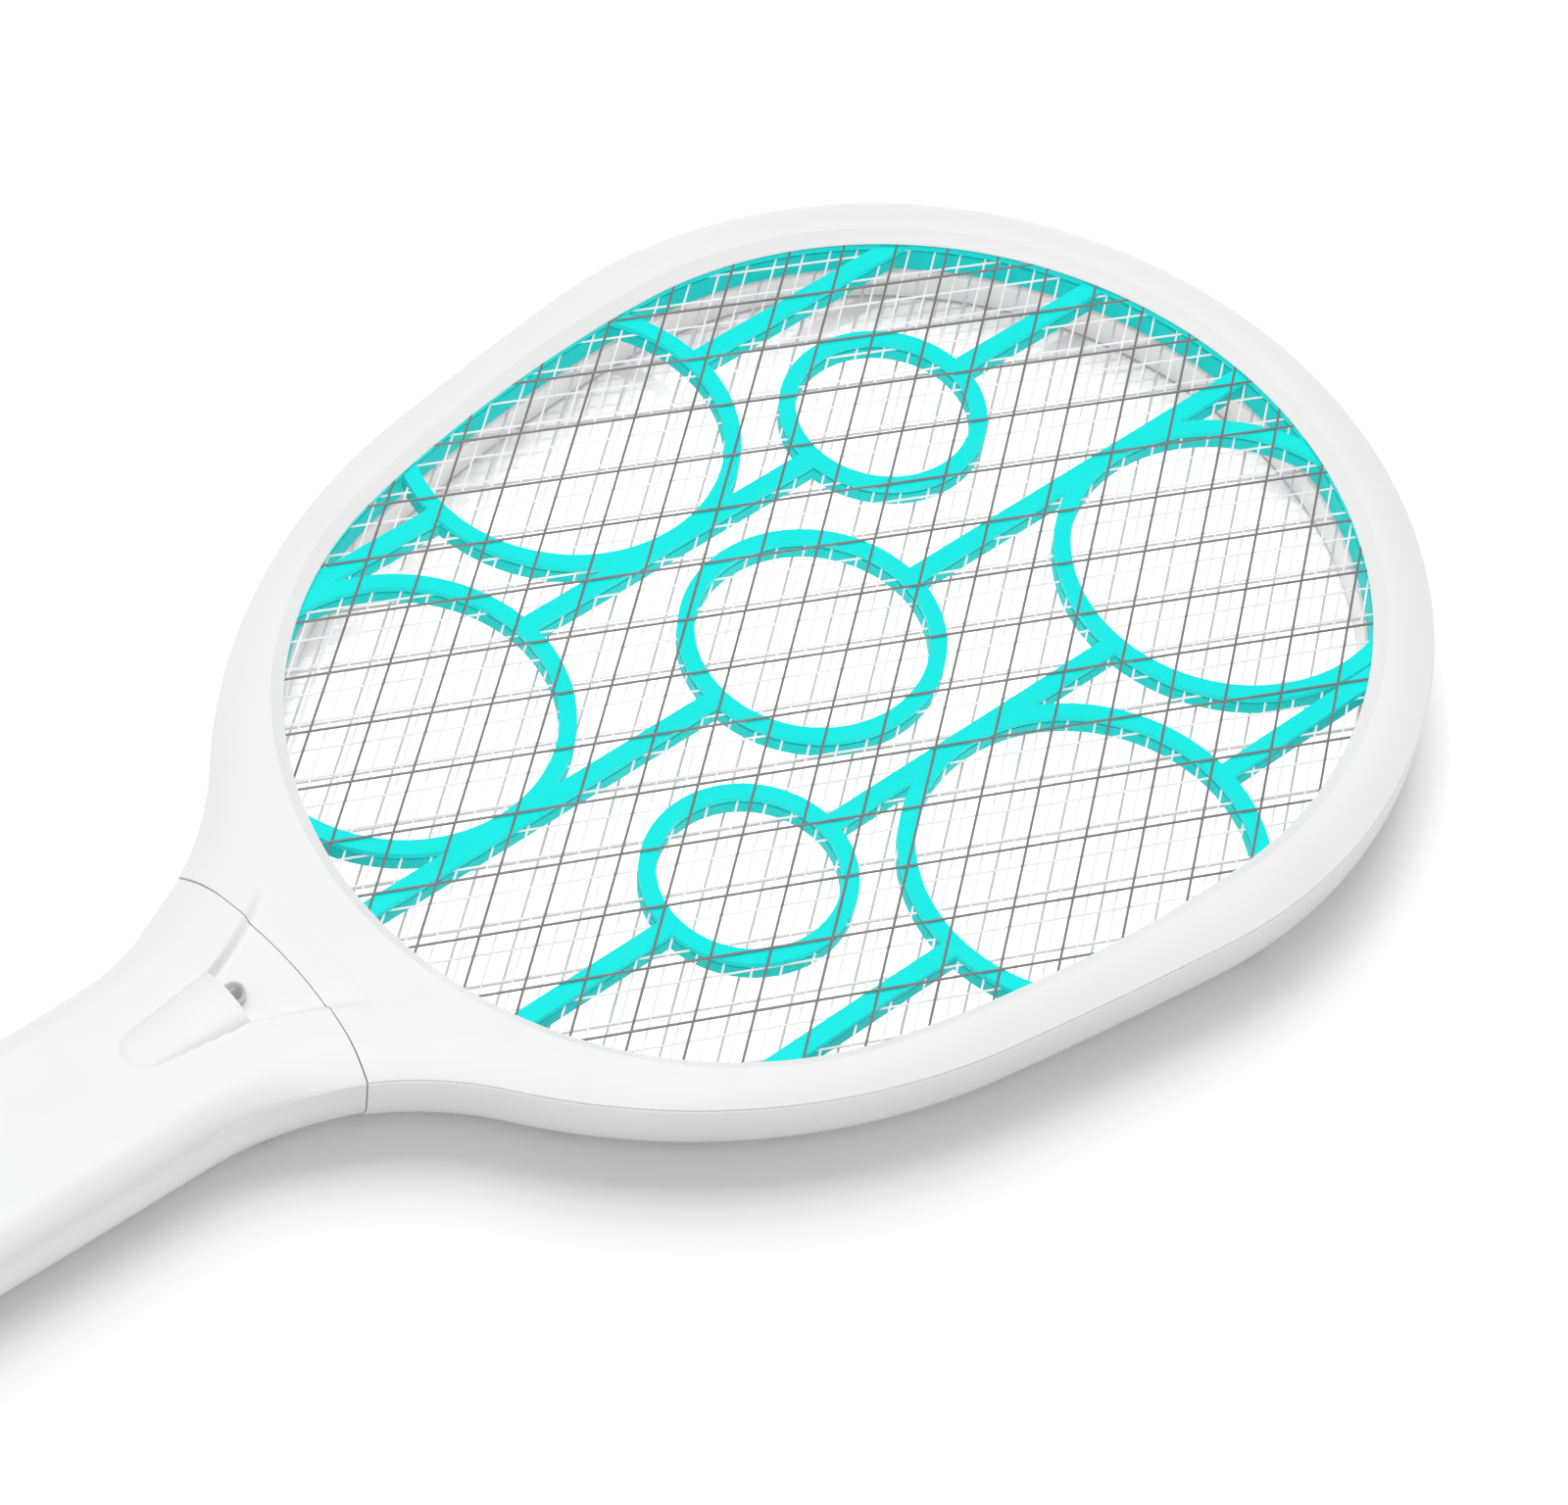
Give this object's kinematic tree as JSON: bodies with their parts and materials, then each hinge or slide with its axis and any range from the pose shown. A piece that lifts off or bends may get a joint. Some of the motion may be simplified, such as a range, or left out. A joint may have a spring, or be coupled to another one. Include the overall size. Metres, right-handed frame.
{
  "type": "electric fly swatter",
  "caption": "Electric fly swatter: egg-shaped head with layered wire meshes and ring grilles, flared neck with torch, flat handle with button and fold-away plug.",
  "frame": {"origin": "centre of the swatter's length and width, on the surface it lies on", "axes": "+Z out of the front face, +Y from the handle to the tip of the head"},
  "size_m": [0.206, 0.48, 0.0236],
  "materials": {
    "shell_white": "glossy white ABS",
    "teal_front": "glossy bright teal plastic",
    "teal_rear": "glossy teal plastic",
    "wire_dark": "bright drawn wire",
    "wire_light": "bright drawn wire",
    "screw_steel": "zinc plated",
    "contact_brass": "nickel-flashed brass",
    "clear_lens": "clear epoxy",
    "red_lens": "red tinted epoxy",
    "black_plastic": "matt black",
    "board_green": "green solder mask",
    "ferrite": "sintered ferrite",
    "yellow_tape": "polyester tape",
    "capacitor_red": "dipped epoxy",
    "capacitor_blue": "dipped epoxy",
    "resistor_tan": "lacquered",
    "cell_sleeve": "shrink sleeve",
    "lead_red": "PVC insulation",
    "lead_black": "PVC insulation"
  },
  "bodies": {
    "frame": {"head_front_shell": "shell_white", "head_rear_shell": "shell_white", "head_screws": "screw_steel", "front_grille": "teal_front", "rear_grille": "teal_rear", "front_mesh": "wire_dark", "middle_mesh": "wire_light", "rear_mesh": "wire_light", "net_contacts": "contact_brass", "handle_front_shell": "shell_white", "handle_rear_shell": "shell_white", "handle_screws": "screw_steel", "end_cap": "shell_white", "torch_led": "clear_lens", "indicator_light": "red_lens", "button_spring": "screw_steel", "button_switch": "black_plastic", "slide_switch": "screw_steel", "circuit_board": "board_green", "board_screws": "screw_steel", "transformer_core": "ferrite", "transformer_winding": "yellow_tape", "film_capacitor": "capacitor_red", "multiplier_capacitors": "capacitor_blue", "rectifier_diodes": "black_plastic", "resistors": "resistor_tan", "transistor": "black_plastic", "battery_cells": "cell_sleeve", "battery_contacts": "contact_brass", "charge_contacts": "contact_brass", "live_lead": "lead_red", "front_mesh_lead": "lead_black", "rear_mesh_lead": "lead_black", "torch_lead": "lead_red", "cell_lead": "lead_black"},
    "button": {"zap_button": "teal_front"},
    "slide_switch_knob": {"slide_knob": "teal_front"},
    "charging_plug": {"plug_carriage": "shell_white", "plug_prongs": "contact_brass"}
  },
  "joints": [
    {"name": "zap_button_press", "type": "slide", "parent": "frame", "child": "button", "axis": [0, 0, -1], "range_m": [0, 0.0014], "stiffness_N_per_m": 900, "springref_m": -0.001, "deforming": ["button_spring"]},
    {"name": "mode_switch_slide", "type": "slide", "parent": "frame", "child": "slide_switch_knob", "axis": [0, 1, 0], "range_m": [-0.0025, 0.0025]},
    {"name": "charging_plug_slide", "type": "slide", "parent": "frame", "child": "charging_plug", "axis": [0, -1, 0], "range_m": [0, 0.017]}
  ]
}
